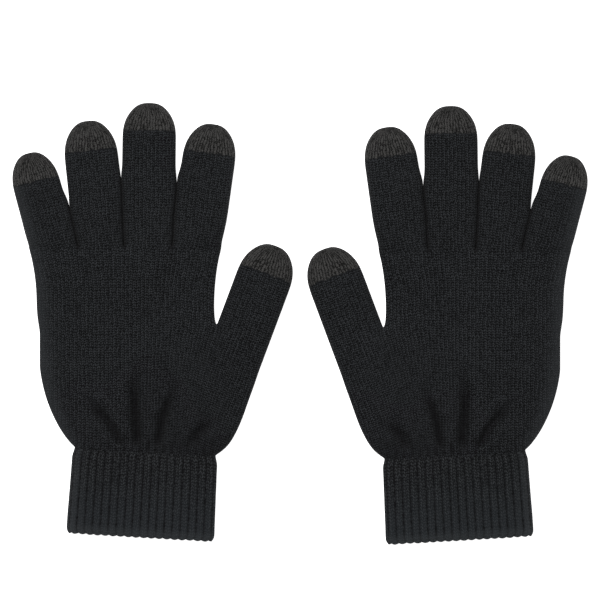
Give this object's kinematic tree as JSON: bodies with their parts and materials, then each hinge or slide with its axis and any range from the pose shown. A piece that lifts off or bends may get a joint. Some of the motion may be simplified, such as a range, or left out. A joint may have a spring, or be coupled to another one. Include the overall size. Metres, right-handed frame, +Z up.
{
  "type": "touchscreen gloves",
  "caption": "Pair of black knitted gloves laid flat, palm sides up, with ribbed cuffs and conductive tips on all fingers and thumbs; hollow, open at the cuffs.",
  "frame": {"origin": "centre of the underside of the pair as it lies flat", "axes": "+X from the left-hand glove to the right-hand glove, +Y from the cuffs to the fingertips, +Z up, out of the palm sides"},
  "size_m": [0.2886, 0.22, 0.0086],
  "materials": {
    "palm_knit": "matte fine knit",
    "finger_knit": "matte fine knit",
    "cuff_rib": "matte ribbed knit",
    "cuff_hem": "matte knitted edge",
    "conductive_tip": "ridged knit of conductive yarn",
    "elastic": "covered elastic yarn"
  },
  "bodies": {
    "left_hand": {"left_hand": "palm_knit"},
    "left_cuff": {"left_cuff": "cuff_rib", "left_cuff_hem": "cuff_hem", "left_cuff_elastic_upper": "elastic", "left_cuff_elastic_lower": "elastic"},
    "left_little_base": {"left_little_base": "finger_knit"},
    "left_little_end": {"left_little_end": "finger_knit", "left_little_tip": "conductive_tip"},
    "left_ring_base": {"left_ring_base": "finger_knit"},
    "left_ring_end": {"left_ring_end": "finger_knit", "left_ring_tip": "conductive_tip"},
    "left_middle_base": {"left_middle_base": "finger_knit"},
    "left_middle_end": {"left_middle_end": "finger_knit", "left_middle_tip": "conductive_tip"},
    "left_index_base": {"left_index_base": "finger_knit"},
    "left_index_end": {"left_index_end": "finger_knit", "left_index_tip": "conductive_tip"},
    "left_thumb_base": {"left_thumb_base": "finger_knit"},
    "left_thumb_end": {"left_thumb_end": "finger_knit", "left_thumb_tip": "conductive_tip"},
    "right_hand": {"right_hand": "palm_knit"},
    "right_cuff": {"right_cuff": "cuff_rib", "right_cuff_hem": "cuff_hem", "right_cuff_elastic_upper": "elastic", "right_cuff_elastic_lower": "elastic"},
    "right_little_base": {"right_little_base": "finger_knit"},
    "right_little_end": {"right_little_end": "finger_knit", "right_little_tip": "conductive_tip"},
    "right_ring_base": {"right_ring_base": "finger_knit"},
    "right_ring_end": {"right_ring_end": "finger_knit", "right_ring_tip": "conductive_tip"},
    "right_middle_base": {"right_middle_base": "finger_knit"},
    "right_middle_end": {"right_middle_end": "finger_knit", "right_middle_tip": "conductive_tip"},
    "right_index_base": {"right_index_base": "finger_knit"},
    "right_index_end": {"right_index_end": "finger_knit", "right_index_tip": "conductive_tip"},
    "right_thumb_base": {"right_thumb_base": "finger_knit"},
    "right_thumb_end": {"right_thumb_end": "finger_knit", "right_thumb_tip": "conductive_tip"}
  },
  "joints": [
    {"name": "left_wrist", "type": "hinge", "parent": "left_hand", "child": "left_cuff", "pos_m": [-0.07725, -0.06348, 0.0086], "axis": [-0.9983, 0.0584, 0], "range_deg": [0, 80]},
    {"name": "left_little_knuckle", "type": "hinge", "parent": "left_hand", "child": "left_little_base", "pos_m": [-0.1227, 0.03703, 0.0086], "axis": [1, 0, 0], "range_deg": [0, 90]},
    {"name": "left_little_middle_joint", "type": "hinge", "parent": "left_little_base", "child": "left_little_end", "pos_m": [-0.12936, 0.06103, 0.0086], "axis": [1, 0, 0], "range_deg": [0, 100]},
    {"name": "left_ring_knuckle", "type": "hinge", "parent": "left_hand", "child": "left_ring_base", "pos_m": [-0.0991, 0.03703, 0.0086], "axis": [1, 0, 0], "range_deg": [0, 90]},
    {"name": "left_ring_middle_joint", "type": "hinge", "parent": "left_ring_base", "child": "left_ring_end", "pos_m": [-0.10231, 0.06753, 0.0086], "axis": [1, 0, 0], "range_deg": [0, 100]},
    {"name": "left_middle_knuckle", "type": "hinge", "parent": "left_hand", "child": "left_middle_base", "pos_m": [-0.0759, 0.03703, 0.0086], "axis": [1, 0, 0], "range_deg": [0, 90]},
    {"name": "left_middle_middle_joint", "type": "hinge", "parent": "left_middle_base", "child": "left_middle_end", "pos_m": [-0.0759, 0.07203, 0.0086], "axis": [1, 0, 0], "range_deg": [0, 100]},
    {"name": "left_index_knuckle", "type": "hinge", "parent": "left_hand", "child": "left_index_base", "pos_m": [-0.05185, 0.03703, 0.0086], "axis": [1, 0, 0], "range_deg": [0, 90]},
    {"name": "left_index_middle_joint", "type": "hinge", "parent": "left_index_base", "child": "left_index_end", "pos_m": [-0.04785, 0.06703, 0.0086], "axis": [1, 0, 0], "range_deg": [0, 100]},
    {"name": "left_thumb_knuckle", "type": "hinge", "parent": "left_hand", "child": "left_thumb_base", "pos_m": [-0.03135, -0.01323, 0.0086], "axis": [0.6626, -0.749, 0], "range_deg": [0, 90]},
    {"name": "left_thumb_middle_joint", "type": "hinge", "parent": "left_thumb_base", "child": "left_thumb_end", "pos_m": [-0.02301, 0.01034, 0.0086], "axis": [0.9426, -0.3338, 0], "range_deg": [0, 80]},
    {"name": "right_wrist", "type": "hinge", "parent": "right_hand", "child": "right_cuff", "pos_m": [0.07725, -0.06498, 0.0086], "axis": [-0.9983, -0.0584, 0], "range_deg": [0, 80]},
    {"name": "right_little_knuckle", "type": "hinge", "parent": "right_hand", "child": "right_little_base", "pos_m": [0.1227, 0.03553, 0.0086], "axis": [1, 0, 0], "range_deg": [0, 90]},
    {"name": "right_little_middle_joint", "type": "hinge", "parent": "right_little_base", "child": "right_little_end", "pos_m": [0.12936, 0.05953, 0.0086], "axis": [1, 0, 0], "range_deg": [0, 100]},
    {"name": "right_ring_knuckle", "type": "hinge", "parent": "right_hand", "child": "right_ring_base", "pos_m": [0.0991, 0.03553, 0.0086], "axis": [1, 0, 0], "range_deg": [0, 90]},
    {"name": "right_ring_middle_joint", "type": "hinge", "parent": "right_ring_base", "child": "right_ring_end", "pos_m": [0.10231, 0.06603, 0.0086], "axis": [1, 0, 0], "range_deg": [0, 100]},
    {"name": "right_middle_knuckle", "type": "hinge", "parent": "right_hand", "child": "right_middle_base", "pos_m": [0.0759, 0.03553, 0.0086], "axis": [1, 0, 0], "range_deg": [0, 90]},
    {"name": "right_middle_middle_joint", "type": "hinge", "parent": "right_middle_base", "child": "right_middle_end", "pos_m": [0.0759, 0.07053, 0.0086], "axis": [1, 0, 0], "range_deg": [0, 100]},
    {"name": "right_index_knuckle", "type": "hinge", "parent": "right_hand", "child": "right_index_base", "pos_m": [0.05185, 0.03553, 0.0086], "axis": [1, 0, 0], "range_deg": [0, 90]},
    {"name": "right_index_middle_joint", "type": "hinge", "parent": "right_index_base", "child": "right_index_end", "pos_m": [0.04785, 0.06552, 0.0086], "axis": [1, 0, 0], "range_deg": [0, 100]},
    {"name": "right_thumb_knuckle", "type": "hinge", "parent": "right_hand", "child": "right_thumb_base", "pos_m": [0.03135, -0.01473, 0.0086], "axis": [0.6626, 0.749, 0], "range_deg": [0, 90]},
    {"name": "right_thumb_middle_joint", "type": "hinge", "parent": "right_thumb_base", "child": "right_thumb_end", "pos_m": [0.02301, 0.00884, 0.0086], "axis": [0.9426, 0.3338, 0], "range_deg": [0, 80]},
    {"name": "pair_spacing", "type": "slide", "parent": "left_hand", "child": "right_hand", "axis": [1, 0, 0], "range_m": [0, 0.1]}
  ]
}
